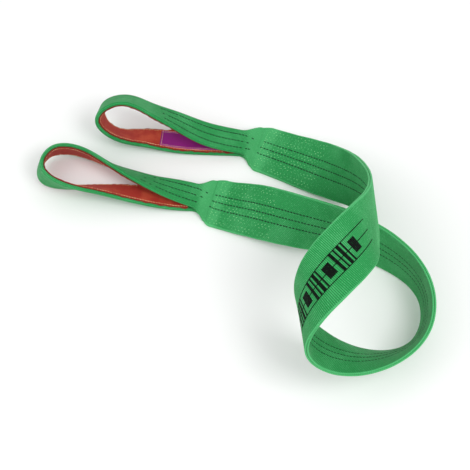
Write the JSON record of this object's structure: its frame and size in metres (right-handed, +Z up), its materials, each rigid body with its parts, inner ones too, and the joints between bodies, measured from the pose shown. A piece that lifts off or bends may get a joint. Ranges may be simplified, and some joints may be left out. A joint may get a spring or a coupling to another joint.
{
  "type": "flat web sling",
  "caption": "Duplex flat web sling with a lined, folded eye at each end, its body lying in one open loop.",
  "frame": {"origin": "on the floor, under the middle of the box round the sling as it lies", "axes": "+Z up, +X from the eyes towards the loop of the body, +Y from the near eye towards the far eye"},
  "size_m": [0.6525, 0.5169, 0.2614],
  "materials": {
    "webbing": "woven polyester, slight sheen",
    "lining": "woven, matte",
    "label": "smooth woven tape",
    "green_thread": "twisted polyester thread",
    "pale_thread": "twisted polyester thread"
  },
  "bodies": {
    "sling_body": {"upper_ply": "webbing", "near_webbing_end": "webbing", "lower_ply": "webbing", "near_splice_sewing": "green_thread", "far_splice_sewing": "green_thread"},
    "near_eye": {"near_eye_web": "webbing", "near_eye_lining": "lining", "near_lining_seam": "pale_thread"},
    "far_eye": {"far_eye_web": "webbing", "far_eye_lining": "lining", "far_lining_seam": "pale_thread", "rating_label": "label", "label_stitches": "pale_thread"}
  },
  "joints": [
    {"name": "near_eye_flex", "type": "hinge", "parent": "sling_body", "child": "near_eye", "pos_m": [-0.0275, 0.0892, 0.0033], "axis": [0.3387, 0.9409, -0.0003], "range_deg": [0, 85]},
    {"name": "far_eye_flex", "type": "hinge", "parent": "sling_body", "child": "far_eye", "pos_m": [0.0515, 0.1952, 0.0033], "axis": [0.352, 0.936, -0.0001], "range_deg": [0, 85]}
  ]
}
